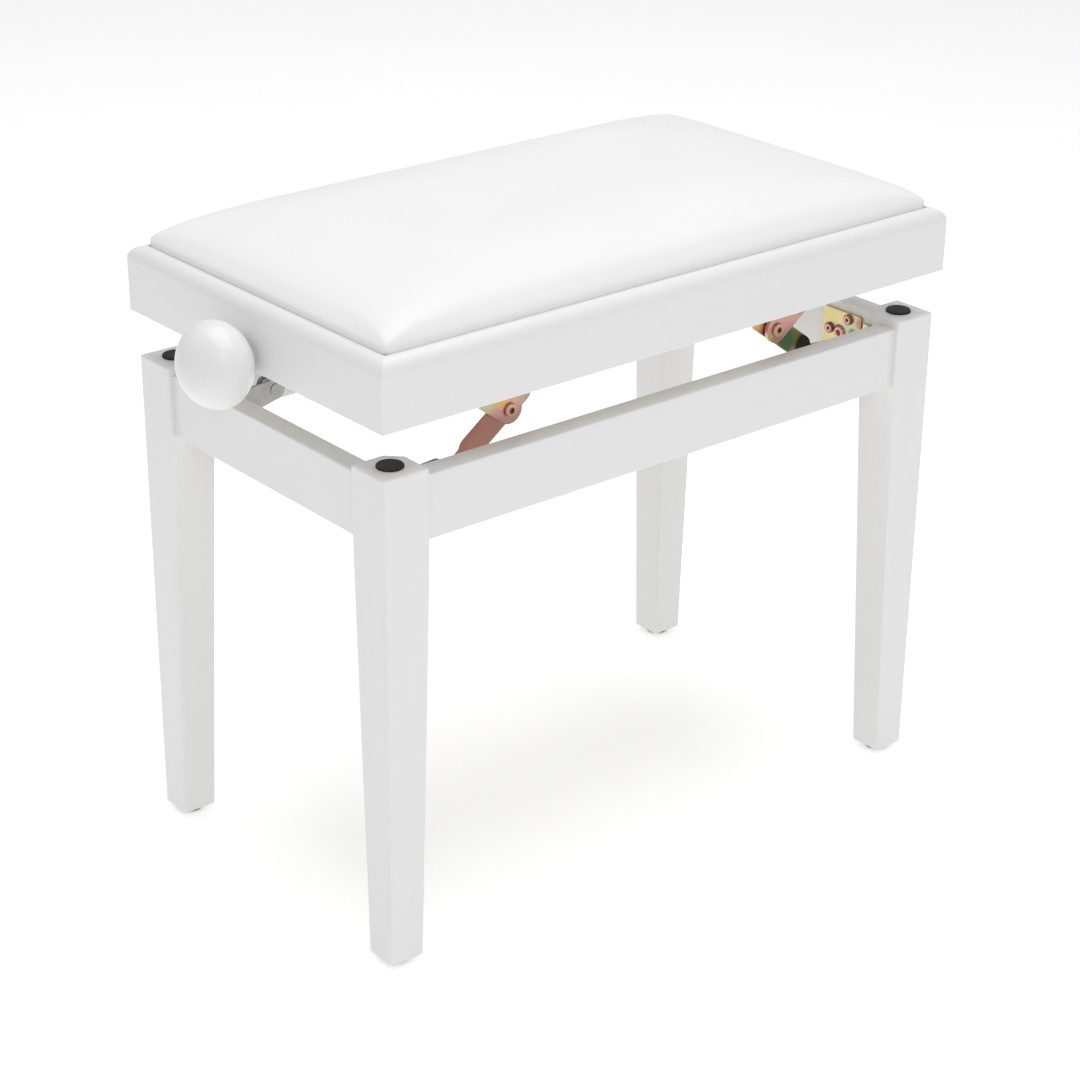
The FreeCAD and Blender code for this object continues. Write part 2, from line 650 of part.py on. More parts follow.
# ---- seat side of the mechanism ----
def track():
    """A steel angle under the seat board: seat pivots at its ends, and slots that guide the crossbars."""
    flange_z = (LEDGE_Z - FLANGE_T, LEDGE_Z)
    web = box((-TRACK_X, TRACK_X), WEB_Y, (TRACK_BOTTOM_Z, LEDGE_Z))
    flange = box((-TRACK_X, TRACK_X), (FLANGE_Y, WEB_Y[1]), flange_z)
    shape = fused([web, flange])
    corners = edges_where(shape, lambda b: b.YLength > 1.0 and b.ZMax < TRACK_BOTTOM_Z + 0.1)
    shape = shape.makeFillet(TRACK_CORNER_R, corners)
    bend = edges_where(shape, lambda b: b.YMin > WEB_Y[1] - 0.01 and b.ZMin > LEDGE_Z - 0.01)
    shape = shape.makeFillet(FLANGE_T * 0.8, bend)
    reach = PIN_R + SLOT_CLEAR
    tools = []
    for side in (-1, 1):
        tools.append(rod_y((side * PIVOT_X, SPINDLE_Z), WEB_Y, PIN_R))
        ends = [(side * (SLOT_X[0] + reach), SPINDLE_Z), (side * (SLOT_X[1] - reach), SPINDLE_Z)]
        tools.append(strap_plate(*sorted(ends), reach, reach, WEB_Y))
        for x, y in TRACK_SCREWS:
            tools.append(rod((side * x, y, flange_z[0]), (side * x, y, LEDGE_Z), BOARD_SCREW_R))
    return without(shape, tools)


def seat_pin():
    head_y = LINK_Y[1] + GAP
    shank = rod_y(SEAT_PIVOT, (WEB_Y[0], head_y), PIN_R)
    inner = rounded_head(rod_y(SEAT_PIVOT, (WEB_Y[0] - HEAD_T, WEB_Y[0]), HEAD_R), WEB_Y[0] - HEAD_T)
    outer = rounded_head(rod_y(SEAT_PIVOT, (head_y, head_y + HEAD_T), HEAD_R), head_y + HEAD_T)
    return fused([shank, inner, outer])


def seat_spacer():
    return tube_y(SEAT_PIVOT, (WEB_Y[1], LINK_Y[0] - GAP), HEAD_R - 0.5, PIN_R)


def hanger():
    """An angle under the seat board that carries the spindle."""
    half = HANGER_W / 2
    web = box((HANGER_X, HANGER_X + STRAP), (-half, half), (HANGER_Z, LEDGE_Z))
    lower = edges_where(web, lambda b: b.XLength > 1.0 and b.ZMax < HANGER_Z + 0.1)
    web = web.makeFillet(TRACK_CORNER_R, lower)
    foot = box((HANGER_X, HANGER_X + STRAP + HANGER_FOOT), (-half, half), (LEDGE_Z - FLANGE_T, LEDGE_Z))
    shape = fused([web, foot])
    tools = [rod((HANGER_X, 0, SPINDLE_Z), (HANGER_X + STRAP, 0, SPINDLE_Z), SPINDLE_R + RUNNING)]
    for x, y in HANGER_SCREWS:
        for end in (-1, 1):
            tools.append(rod((x, end * y, LEDGE_Z - FLANGE_T), (x, end * y, LEDGE_Z), BOARD_SCREW_R))
    return without(shape, tools)


def spindle_bush():
    """A plastic bush in the left rail, with a thin flange behind the knob."""
    barrel = rod((-SEAT_X, 0, SPINDLE_Z), (-SEAT_X + RAIL_W, 0, SPINDLE_Z), BUSH_R)
    flange = rod((-SEAT_X - BUSH_FLANGE_T, 0, SPINDLE_Z), (-SEAT_X, 0, SPINDLE_Z), BUSH_FLANGE_R)
    bore = rod((-SEAT_X - 5, 0, SPINDLE_Z), (-SEAT_X + RAIL_W + 5, 0, SPINDLE_Z), SPINDLE_R + RUNNING)
    return fused([barrel, flange]).cut(bore)


# ---- spindle and knob ----
def spindle():
    shape = rod((KNOB_BACK_X - KNOB_BORE, 0, SPINDLE_Z), (SPINDLE_END_X, 0, SPINDLE_Z), SPINDLE_R)
    return shape.makeChamfer(1.0, edges_where(shape, lambda b: b.XLength < 0.01))


def knob():
    """An oblate ball turned about X: a tight arc round the rim, two flatter ones, and a small flat back."""
    rim_centre = KNOB_R - KNOB_RIM_R
    face_r = (rim_centre**2 + KNOB_HALF_DEPTH**2 - KNOB_RIM_R**2) / (2 * (KNOB_HALF_DEPTH - KNOB_RIM_R))
    offset = face_r - KNOB_HALF_DEPTH
    tangent = math.atan2(rim_centre, offset)
    back_angle = math.acos((KNOB_BACK_X - KNOB_X + offset) / face_r)

    def on_rim(angle):
        return Vector(KNOB_RIM_R * math.cos(angle), rim_centre + KNOB_RIM_R * math.sin(angle), 0)

    def on_face(angle, side):
        return Vector(side * (face_r * math.cos(angle) - offset), face_r * math.sin(angle), 0)

    tip, back = on_face(0, -1), on_face(back_angle, 1)
    foot = Vector(back.x, 0, 0)
    joins = on_rim(math.pi - tangent), on_rim(tangent)
    edges = [
        Part.Arc(tip, on_face(tangent / 2, -1), joins[0]).toShape(),
        Part.Arc(joins[0], on_rim(math.pi / 2), joins[1]).toShape(),
        Part.Arc(joins[1], on_face((tangent + back_angle) / 2, 1), back).toShape(),
        Part.makeLine(back, foot),
        Part.makeLine(foot, tip),
    ]
    ball = Part.Face(Part.Wire(edges)).revolve(Vector(0, 0, 0), Vector(1, 0, 0), 360)
    ball.translate(Vector(KNOB_X, 0, SPINDLE_Z))
    bore = rod((KNOB_BACK_X - KNOB_BORE, 0, SPINDLE_Z), (KNOB_BACK_X, 0, SPINDLE_Z), SPINDLE_R)
    return without(ball, [bore, grub_hole()])


def grub_line():
    direction = Vector(0, math.cos(GRUB_ANGLE), math.sin(GRUB_ANGLE))
    return Vector(GRUB_X, 0, SPINDLE_Z), direction


def grub_hole():
    centre, direction = grub_line()
    return Part.makeCylinder(GRUB_R, KNOB_R, centre + direction * SPINDLE_R, direction)


def grub_screw():
    centre, direction = grub_line()
    body = Part.makeCylinder(GRUB_R, GRUB_L, centre + direction * SPINDLE_R, direction)
    top = centre + direction * (SPINDLE_R + GRUB_L)
    socket = Part.makeCylinder(1.2, 2.5, top - direction * 2.5, direction)
    shaft = rod((GRUB_X - 10, 0, SPINDLE_Z), (GRUB_X + 10, 0, SPINDLE_Z), SPINDLE_R)
    return body.cut(socket).cut(shaft)


def collar(side):
    start = HANGER_X + STRAP + GAP
    ring = rod((start, 0, SPINDLE_Z), (start + COLLAR_T, 0, SPINDLE_Z), COLLAR_R)
    ring = ring.makeChamfer(0.8, edges_where(ring, lambda b: b.XLength < 0.01))
    ring = ring.cut(rod((start, 0, SPINDLE_Z), (start + COLLAR_T, 0, SPINDLE_Z), SPINDLE_R))
    return placed(ring, side, 1)


# ---- the assembly: node name to shape ----
def base_nodes():
    nodes = {}
    for end_name, end in ENDS.items():
        nodes[f"apron_{end_name}"] = placed(long_apron(), 1, end)
        for side_name, side in SIDES.items():
            nodes[f"leg_{end_name}_{side_name}"] = placed(leg(), side, end)
            nodes[f"base_bracket_{end_name}_{side_name}"] = placed(base_bracket(), side, end)
    for side_name, side in SIDES.items():
        nodes[f"apron_{side_name}"] = placed(short_apron(), side, 1)
    plate_screws = Part.makeCompound([plate_screw(*at) for at in PLATE_SCREWS])
    bracket_screws = Part.makeCompound([bracket_screw(at) for at in BRACKET_SCREWS])
    nodes["corner_plates"] = at_corners(corner_plate())
    nodes["corner_plate_screws"] = at_corners(plate_screws)
    nodes["hanger_bolts"] = at_corners(hanger_bolt())
    nodes["hanger_nuts"] = at_corners(hanger_nut())
    nodes["floor_glides"] = at_corners(glide())
    nodes["seat_bumpers"] = at_corners(bumper())
    nodes["base_bracket_screws"] = at_corners(bracket_screws)
    nodes["base_pivot_pins"] = at_corners(base_pin())
    nodes["base_pivot_spacers"] = at_corners(base_spacer())
    return nodes


def mechanism_nodes():
    nodes = {}
    for side_name, side in SIDES.items():
        for end_name, end in ENDS.items():
            nodes[f"lift_arm_{end_name}_{side_name}"] = placed(lift_arm(), side, end)
            nodes[f"support_link_{end_name}_{side_name}"] = placed(support_link(), side, end)
        nodes[f"knee_rivets_{side_name}"] = at_ends(knee_rivet(), side)
        nodes[f"crossbar_{side_name}"] = placed(crossbar(), side, 1)
        nodes[f"crossbar_nut_{side_name}"] = placed(crossbar_nut(), side, 1)
        nodes[f"crossbar_clips_{side_name}"] = at_ends(crossbar_clip(), side)
    return nodes


def seat_nodes():
    nodes = {"seat_rail_left": left_rail(), "seat_rail_right": short_rail()}
    for end_name, end in ENDS.items():
        nodes[f"seat_rail_{end_name}"] = placed(long_rail(), 1, end)
        nodes[f"track_{end_name}"] = placed(track(), 1, end)
    for side_name, side in SIDES.items():
        nodes[f"spindle_hanger_{side_name}"] = placed(hanger(), side, 1)
    under_flange = LEDGE_Z - FLANGE_T
    mounting = [board_screw(x, y, under_flange) for x, y in TRACK_SCREWS + HANGER_SCREWS]
    nodes["seat_board"] = seat_board()
    nodes["seat_foam"] = seat_foam()
    nodes["seat_cover"] = seat_cover()
    nodes["seat_corner_blocks"] = at_corners(corner_block())
    nodes["corner_block_screws"] = at_corners(board_screw(*BLOCK_SCREW, BLOCK_Z))
    nodes["mechanism_screws"] = at_corners(Part.makeCompound(mounting))
    nodes["seat_pivot_pins"] = at_corners(seat_pin())
    nodes["seat_pivot_spacers"] = at_corners(seat_spacer())
    nodes["spindle_bush"] = spindle_bush()
    return nodes


def spindle_nodes():
    collars = Part.makeCompound([collar(side) for side in SIDES.values()])
    return {
        "spindle": spindle(),
        "knob": knob(),
        "knob_grub_screw": grub_screw(),
        "spindle_collars": collars,
    }


def main():
    os.makedirs("parts", exist_ok=True)
    nodes = {**base_nodes(), **mechanism_nodes(), **seat_nodes(), **spindle_nodes()}
    for name, shape in nodes.items():
        if not shape.isValid():
            raise RuntimeError(f"{name} is not a valid shape")
        shape.exportStep(f"parts/{name}.step")
    print(len(nodes), "nodes written")


main()
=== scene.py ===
"""Looks of the height-adjustable piano bench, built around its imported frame. Metres, Z up, floor at z = 0."""
import math

import bmesh
import bpy
import numpy as np
from mathutils import Matrix, Vector


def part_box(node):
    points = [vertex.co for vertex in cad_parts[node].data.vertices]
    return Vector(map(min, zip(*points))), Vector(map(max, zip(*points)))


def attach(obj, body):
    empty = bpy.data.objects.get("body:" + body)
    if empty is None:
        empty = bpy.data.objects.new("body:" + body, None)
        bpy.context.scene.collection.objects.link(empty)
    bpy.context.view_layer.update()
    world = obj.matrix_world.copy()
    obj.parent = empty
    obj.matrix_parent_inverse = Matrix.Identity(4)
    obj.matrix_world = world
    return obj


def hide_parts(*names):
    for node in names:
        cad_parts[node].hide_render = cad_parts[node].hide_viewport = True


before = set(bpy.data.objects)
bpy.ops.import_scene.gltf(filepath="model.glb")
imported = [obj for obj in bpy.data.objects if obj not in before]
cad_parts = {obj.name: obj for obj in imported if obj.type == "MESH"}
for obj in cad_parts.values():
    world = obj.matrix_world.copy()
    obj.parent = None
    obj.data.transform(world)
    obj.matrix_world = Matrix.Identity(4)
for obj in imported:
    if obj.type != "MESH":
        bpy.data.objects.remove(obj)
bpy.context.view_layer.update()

MM = 0.001


# ---------------------------------------------------------------- material graphs
class Graph:
    """One material's node tree, with short ways to add nodes and to link them."""

    def __init__(self, name):
        self.material = bpy.data.materials.new(name)
        self.material.use_nodes = True
        self.tree = self.material.node_tree
        self.shader = next(n for n in self.tree.nodes if n.type == "BSDF_PRINCIPLED")
        self.place = self.node("ShaderNodeTexCoord").outputs["Object"]

    def node(self, kind, inputs=None, **settings):
        made = self.tree.nodes.new(kind)
        for key, value in settings.items():
            setattr(made, key, value)
        for key, value in (inputs or {}).items():
            self.put(made.inputs[key], value)
        return made

    def put(self, socket, value):
        if isinstance(value, bpy.types.NodeSocket):
            self.tree.links.new(value, socket)
        else:
            socket.default_value = value

    def set(self, **values):
        for key, value in values.items():
            self.put(self.shader.inputs[key.replace("_", " ")], value)

    def stretched(self, scale):
        """Object coordinates scaled by axis, for grain that runs one way."""
        return self.node("ShaderNodeMapping", {"Vector": self.place, "Scale": scale}).outputs["Vector"]

    def noise(self, scale, detail=3.0, rough=0.55, where=None, distortion=0.0):
        inputs = {"Vector": where or self.place, "Scale": scale, "Detail": detail,
                  "Roughness": rough, "Distortion": distortion}
        return self.node("ShaderNodeTexNoise", inputs).outputs["Fac"]

    def cells(self, scale):
        """Distance to the edges of small cells, for a pebbled skin."""
        made = self.node("ShaderNodeTexVoronoi", {"Vector": self.place, "Scale": scale},
                         feature="DISTANCE_TO_EDGE")
        return made.outputs["Distance"]

    def span(self, value, low, high, from_low=0.0, from_high=1.0):
        made = self.node("ShaderNodeMapRange", {"Value": value, "From Min": from_low, "From Max": from_high,
                                                "To Min": low, "To Max": high})
        return made.outputs["Result"]

    def math(self, operation, a, b):
        return self.node("ShaderNodeMath", {0: a, 1: b}, operation=operation).outputs["Value"]

    def vector_math(self, operation, *operands, output="Vector"):
        made = self.node("ShaderNodeVectorMath", dict(enumerate(operands)), operation=operation)
        return made.outputs[output]

    def ramp(self, value, stops):
        made = self.node("ShaderNodeValToRGB", {"Fac": value})
        elements = made.color_ramp.elements
        for _ in stops[2:]:
            elements.new(0.5)
        for element, (at, colour) in zip(elements, stops):
            element.position = at
            element.color = (*colour, 1.0)
        return made.outputs["Color"]

    def away(self, plane, *centres):
        """Distance to the nearest centre in mm, seen along X ("yz") or along Y ("xz"), both halves alike."""
        across = {"xz": (1, 0, 1), "yz": (0, 1, 1)}[plane]
        flat = self.vector_math("MULTIPLY", self.vector_math("ABSOLUTE", self.place), across)
        nearest = None
        for first, z in centres:
            centre = [first * MM * across[0], first * MM * across[1], z * MM]
            one = self.vector_math("DISTANCE", flat, centre, output="Value")
            nearest = one if nearest is None else self.math("MINIMUM", nearest, one)
        return self.math("MULTIPLY", nearest, 1000.0)

    def patch(self, under, colour, distance, radius, soft):
        """Lays a colour over another out to this radius, with an edge this soft."""
        cover = self.span(distance, 1.0, 0.0, radius - soft, radius + soft)
        mixed = self.node("ShaderNodeMix", data_type="RGBA")
        self.put(mixed.inputs[0], cover)
        self.put(mixed.inputs[6], under)
        self.put(mixed.inputs[7], (*colour, 1.0))
        return mixed.outputs[2]

    def bump(self, *layers):
        """Stacks (height, strength, distance) layers into one normal."""
        normal = None
        for height, strength, distance in layers:
            inputs = {"Height": height, "Strength": strength, "Distance": distance}
            if normal is not None:
                inputs["Normal"] = normal
            normal = self.node("ShaderNodeBump", inputs).outputs["Normal"]
        self.put(self.shader.inputs["Normal"], normal)


def lacquer(name, grain):
    """White satin lacquer: a faint grain telegraphing along the board, and orange peel."""
    g = Graph(name)
    along = g.stretched(grain)
    streaks = g.noise(1.0, 4.0, 0.6, along, 0.4)
    cloud = g.noise(9.0, 2.0)
    tone = g.math("ADD", g.math("MULTIPLY", streaks, 0.6), g.math("MULTIPLY", cloud, 0.4))
    g.set(Base_Color=g.ramp(tone, [(0.25, (0.825, 0.825, 0.826)), (0.75, (0.84, 0.84, 0.84))]),
          Roughness=g.span(cloud, 0.30, 0.40), Coat_Weight=0.25, Coat_Roughness=0.22, IOR=1.48)
    g.bump((streaks, 0.02, 0.0003), (g.noise(420.0, 2.0), 0.03, 0.0003))
    return g.material


def leatherette():
    g = Graph("leatherette_white")
    pebble = g.cells(620.0)
    fine = g.noise(1500.0, 2.0)
    cloud = g.noise(14.0, 3.0)
    g.set(Base_Color=g.ramp(cloud, [(0.3, (0.866, 0.866, 0.865)), (0.7, (0.876, 0.876, 0.876))]),
          Roughness=g.span(g.math("ADD", cloud, fine), 0.42, 0.56, 0.6, 1.4), IOR=1.46,
          Sheen_Weight=0.08, Sheen_Roughness=0.5)
    g.bump((g.noise(60.0, 3.0), 0.08, 0.0008), (pebble, 0.22, 0.00025), (fine, 0.10, 0.0001))
    return g.material


CRISP = 1.0                            # patches with an edge softer than this in mm have a ragged outline
RAGGED = 7.0                           # and the span in mm over which it wanders


def zinc(name, stops, shift, patches=()):
    """Yellow-chromated zinc: a thin film that drifts from yellow through green and pink, patch by patch; some
    patches are painted shade instead.
    """
    g = Graph(name)
    moved = g.node("ShaderNodeMapping", {"Vector": g.place, "Location": shift}).outputs["Vector"]
    film = g.noise(17.0, 3.0, 0.5, moved, 1.1)
    mottle = g.noise(160.0, 4.0, 0.65)
    blend = g.math("ADD", g.math("MULTIPLY", film, 0.86), g.math("MULTIPLY", mottle, 0.14))
    scratch = g.noise(1.0, 2.0, 0.5, g.stretched((60.0, 60.0, 1400.0)))
    colour = g.ramp(blend, stops)
    ragged = g.math("MULTIPLY", g.math("SUBTRACT", g.noise(90.0, 3.0, 0.6), 0.5), RAGGED)
    for plane, centres, radius, soft, tint in patches:
        distance = g.away(plane, *centres)
        if soft > CRISP:
            distance = g.math("ADD", distance, ragged)
        colour = g.patch(colour, tint, distance, radius, soft)
    g.set(Base_Color=colour, Metallic=0.92, IOR=1.8,
          Roughness=g.span(g.math("ADD", mottle, scratch), 0.26, 0.46, 0.5, 1.5))
    g.bump((mottle, 0.12, 0.0002), (scratch, 0.10, 0.0001))
    return g.material


def brushed(name, dark, light, scale):
    """Bare turned metal: fine lines across the axis that has the largest scale."""
    g = Graph(name)
    lines = g.noise(1.0, 3.0, 0.6, g.stretched(scale))
    tint = g.noise(30.0, 3.0)
    tone = g.math("MULTIPLY", g.math("ADD", lines, tint), 0.5)
    g.set(Base_Color=g.ramp(tone, [(0.3, dark), (0.7, light)]), Metallic=1.0,
          Roughness=g.span(lines, 0.22, 0.38))
    g.bump((lines, 0.15, 0.0001))
    return g.material


def moulded(name, dark, light, rough):
    """Rubber or plastic with a fine moulded texture."""
    g = Graph(name)
    grain = g.noise(900.0, 3.0, 0.6)
    cloud = g.noise(45.0, 2.0)
    g.set(Base_Color=g.ramp(cloud, [(0.3, dark), (0.7, light)]),
          Roughness=g.span(grain, rough - 0.08, rough + 0.08), IOR=1.5)
    g.bump((grain, 0.25, 0.00015))
    return g.material


def birch():
    """Raw plywood and glue blocks: birch figure along X, ply lines through the thickness."""
    g = Graph("birch_raw")
    figure = g.noise(1.0, 5.0, 0.6, g.stretched((9.0, 120.0, 120.0)), 1.5)
    fibres = g.noise(1.0, 3.0, 0.6, g.stretched((60.0, 1500.0, 1500.0)))
    plies = g.node("ShaderNodeTexWave",
                   {"Vector": g.stretched((0.0, 0.0, 110.0)), "Scale": 1.0, "Distortion": 0.3},
                   wave_type="BANDS", bands_direction="Z").outputs["Fac"]
    layers = g.math("ADD", g.math("MULTIPLY", figure, 0.75), g.math("MULTIPLY", plies, 0.12))
    tone = g.math("ADD", layers, g.math("MULTIPLY", fibres, 0.13))
    stops = [(0.30, (0.62, 0.58, 0.52)), (0.55, (0.73, 0.70, 0.65)), (0.75, (0.79, 0.77, 0.73))]
    g.set(Base_Color=g.ramp(tone, stops), Roughness=g.span(fibres, 0.55, 0.75), IOR=1.45)
    g.bump((fibres, 0.2, 0.0002), (figure, 0.1, 0.0003))
    return g.material


# the colours of the chromate film, the dull grey of a few pieces, and a black that is painted shade; brown is
# partly film colour and partly painted shade
YELLOW = (0.66, 0.56, 0.22)
STRAW = (0.72, 0.66, 0.40)
OLIVE = (0.34, 0.31, 0.10)
GREEN = (0.13, 0.25, 0.13)
PALE_GREEN = (0.52, 0.56, 0.40)
ORANGE = (0.78, 0.48, 0.20)
PINK = (0.70, 0.40, 0.35)
ROSE = (0.60, 0.30, 0.25)
COPPER = (0.48, 0.25, 0.19)
BROWN = (0.16, 0.09, 0.06)
# a black patch colour, painted shade in recesses and where a piece runs into shadow
PAINTED_SHADE_BLACK = (0.04, 0.035, 0.02)
DULL = (0.30, 0.29, 0.27)
DULL_PALE = (0.44, 0.43, 0.41)

LACQUER_X = lacquer("lacquer_white_x", (5.0, 160.0, 160.0))
LACQUER_Y = lacquer("lacquer_white_y", (160.0, 5.0, 160.0))
LACQUER_Z = lacquer("lacquer_white_z", (160.0, 160.0, 5.0))
LEATHERETTE = leatherette()

# where patches lie on the bench in mm: x and z on pieces seen along Y, y and z on pieces seen along X
KNEE = [(134.2, 403.9)]
BOSS = [(79.0, 363.5)]
BRACKET_SCREWS = [(67.5, 364.5), (88.0, 377.0), (68.0, 347.5), (93.5, 348.5)]
PLATE_STOPS = [(0.30, STRAW), (0.50, YELLOW), (0.62, STRAW), (0.74, PALE_GREEN)]
PINK_STOPS = [(0.34, ROSE), (0.46, PINK), (0.56, PINK), (0.68, COPPER)]
ZINC_PLATE = zinc("zinc_plate", PLATE_STOPS, (0.0, 0.0, 0.0))
ZINC_BRACKET = zinc("zinc_bracket", PLATE_STOPS, (0.0, 0.0, 0.0), [
    ("yz", [(90.0, 371.0)], 7.0, 2.5, PALE_GREEN),
    ("yz", [(94.0, 366.0)], 4.0, 1.5, GREEN),
    ("yz", [(104.0, 376.0)], 7.0, 2.0, COPPER),
    ("yz", BOSS, 6.9, 0.3, COPPER),
    ("yz", BOSS, 4.7, 0.3, PINK),
])
ZINC_DULL = zinc("zinc_dull", [(0.35, DULL), (0.65, DULL_PALE)], (0.1, 0.3, 0.0))
ZINC_PIN = zinc("zinc_pin", [(0.35, DULL), (0.65, DULL_PALE)], (0.4, 0.3, 0.2))
ARM_LEFT_STOPS = [(0.32, COPPER), (0.46, ROSE), (0.60, ROSE), (0.72, PINK)]
ZINC_ARM_LEFT = zinc("zinc_arm_left", ARM_LEFT_STOPS, (0.3, 0.1, 0.2), [
    ("xz", [(116.0, 416.0)], 14.0, 3.0, PINK),
    ("xz", [(120.0, 406.5)], 4.0, 2.0, PALE_GREEN),
])
ZINC_ARM_RIGHT = zinc("zinc_arm_right", PINK_STOPS, (0.6, 0.2, 0.3), [
    ("xz", [(118.0, 412.0)], 8.0, 3.0, ORANGE),
    # near the bracket the film turns olive and dark green, deepened there as painted shade, and ends in a black
    # patch that is painted shade alone
    ("xz", [(160.0, 396.0)], 15.0, 3.0, OLIVE),
    ("xz", [(149.0, 389.0)], 9.0, 2.0, GREEN),
    ("xz", [(168.0, 382.0)], 10.0, 2.0, PAINTED_SHADE_BLACK),
])
ZINC_LINK_LEFT = zinc("zinc_link_left", PINK_STOPS, (0.7, 0.4, 0.1), [
    ("xz", [(141.0, 414.0)], 7.0, 2.0, ORANGE),
    ("xz", [(160.0, 416.0)], 12.0, 2.5, YELLOW),
    ("xz", [(157.0, 412.0)], 5.0, 1.5, PALE_GREEN),
])
ZINC_LINK_RIGHT = zinc("zinc_link_right", PINK_STOPS, (0.2, 0.6, 0.1), [
    ("xz", [(126.0, 398.0)], 4.0, 2.0, YELLOW),
])
# rivet heads: a yellow ring, a rose face and a brown dot in the middle, painted shade in the rivet's dimple
ZINC_RIVET = zinc("zinc_rivet", PINK_STOPS, (0.2, 0.9, 0.5), [
    ("xz", KNEE, 4.1, 0.4, YELLOW),
    ("xz", KNEE, 3.1, 0.4, ROSE),
    ("xz", KNEE, 2.1, 0.3, BROWN),
])
HEAD_STOPS = [(0.35, COPPER), (0.45, PINK), (0.55, STRAW), (0.68, YELLOW)]
ZINC_HEAD = zinc("zinc_head", HEAD_STOPS, (0.2, 0.9, 0.5))
# screw heads: dark brown to copper at the rim, their own colour and also a painted shadow ring round each head;
# a pink face; a black dot in the middle, painted shade in the recess
ZINC_SCREW = zinc("zinc_screw", [(0.35, BROWN), (0.65, COPPER)], (0.5, 0.9, 0.5), [
    ("yz", BRACKET_SCREWS, 3.3, 0.4, PINK),
    ("yz", BRACKET_SCREWS, 1.3, 0.3, PAINTED_SHADE_BLACK),
])
STEEL = brushed("steel_bright", (0.42, 0.43, 0.44), (0.62, 0.63, 0.64), (1800.0, 90.0, 90.0))
RUBBER = moulded("rubber_black", (0.011, 0.011, 0.012), (0.020, 0.020, 0.021), 0.62)
GLIDE = moulded("glide_black", (0.035, 0.035, 0.037), (0.055, 0.055, 0.057), 0.45)
BUSH = moulded("bush_white", (0.66, 0.66, 0.63), (0.76, 0.76, 0.74), 0.42)
BIRCH = birch()

# a node wears the first look whose beginning fits its name; what fits none is bright steel
LOOKS = [
    ("leg_", LACQUER_Z),
    ("knob", LACQUER_Y),
    ("apron_front", LACQUER_X),
    ("apron_back", LACQUER_X),
    ("apron_", LACQUER_Y),
    ("seat_rail_front", LACQUER_X),
    ("seat_rail_back", LACQUER_X),
    ("seat_rail_", LACQUER_Y),
    ("seat_cover", LEATHERETTE),
    ("seat_foam", LEATHERETTE),
    ("seat_board", BIRCH),
    ("seat_corner_blocks", BIRCH),
    ("seat_bumpers", RUBBER),
    ("floor_glides", GLIDE),
    ("spindle_bush", BUSH),
    ("crossbar_", ZINC_PLATE),
    ("lift_arm_front_left", ZINC_ARM_LEFT),
    ("lift_arm_back_left", ZINC_DULL),
    ("lift_arm_", ZINC_ARM_RIGHT),
    ("support_link_front_left", ZINC_LINK_LEFT),
    ("support_link_back_left", ZINC_LINK_LEFT),
    ("support_link_", ZINC_LINK_RIGHT),
    ("base_bracket_screws", ZINC_SCREW),
    ("base_bracket_back_left", ZINC_DULL),
    ("base_bracket_front_left", ZINC_PIN),
    ("base_bracket_", ZINC_BRACKET),
    ("track_", ZINC_PLATE),
    ("spindle_hanger_", ZINC_PLATE),
    ("corner_plates", ZINC_PLATE),
    ("corner_plate_screws", ZINC_HEAD),
    ("mechanism_screws", ZINC_HEAD),
    ("corner_block_screws", ZINC_HEAD),
    ("knee_rivets_", ZINC_RIVET),
    ("base_pivot_pins", ZINC_PIN),
    ("seat_pivot_pins", ZINC_HEAD),
]


def dress(node_name, node):
    looks = [look for beginning, look in LOOKS if node_name.startswith(beginning)]
    node.data.materials.clear()
    node.data.materials.append((looks or [STEEL])[0])


for node_name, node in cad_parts.items():
    dress(node_name, node)


# ---------------------------------------------------------------- cushion
REBATE = 12 * MM                       # rail's outer face to the wall beside the cushion
CORNER = 5 * MM                        # radius of the cushion's corners, seen from above
EDGE_GAP = 0.1 * MM                    # between the cushion and the rebate's wall
EDGE = 4.6 * MM                        # the cushion's edge, over the seat frame's top
FULL = 35.2 * MM                       # its crown, over the same
# distance in from a long side in mm, and how steeply the cushion climbs there
SLOPES = [(0, 3.0), (1, 2.3), (3, 1.6), (6, 1.19), (10, 0.97), (15, 0.75), (20, 0.53), (30, 0.36),
          (40, 0.25), (60, 0.09), (80, 0.04), (130, 0.0)]
SLOPE_STEP = 0.1                       # mm between the places where the climb is summed
END_SHARE = 0.6                        # the ends climb the same way over a longer run
EASE = 30 * MM                         # how softly the slopes of sides and ends meet
FIRM_EDGE = 7 * MM                     # and the margin over which the edge keeps its height at the corners
LEAST_EASE = 0.05                      # share of the easing that is left at the very edge
# rings of the side wall, top to bottom in mm: in from the outline, and height over the frame's top
WALL = [(0.0, 2.6), (0.1, 0.8), (0.1, -3.0), (0.1, -9.6)]
RING_DROP = 0.2 * MM                   # the least that each ring lies below the one above it
EDGE_LINES = [0.0, 0.7, 1.8, 3.4, 5.6, 8.6, 12.4]      # closer grid lines beside each edge, mm in from it
CELL = 5 * MM                          # about how far apart the other grid lines are
PRESSURE = 2.0
SIM_FRAMES = 20
TOP_FROM = 1.5 * MM                    # what lies lower than this over the frame's top is held fast
EDGE_HOLD = 0.9                        # how firmly the top is held at its edge, from 0 to 1
HOLD_FADE = 14 * MM                    # and the distance over which that hold falls by 1
CALM = 30                              # passes that even out small creases
CAP = 3 * MM                           # the most that a point may move
SLACK = 0.96                           # the crown before it is blown up, as a share of its height


def edge_spacing(half):
    """Grid lines from -half to half, closer together beside both ends."""
    near = np.array(EDGE_LINES) * MM
    steps = max(2, round((half - near[-1]) / CELL))
    inner = np.linspace(-half + near[-1], half - near[-1], 2 * steps + 1)
    outer = -half + near[:-1]
    return np.concatenate([outer, inner, -outer[::-1]])


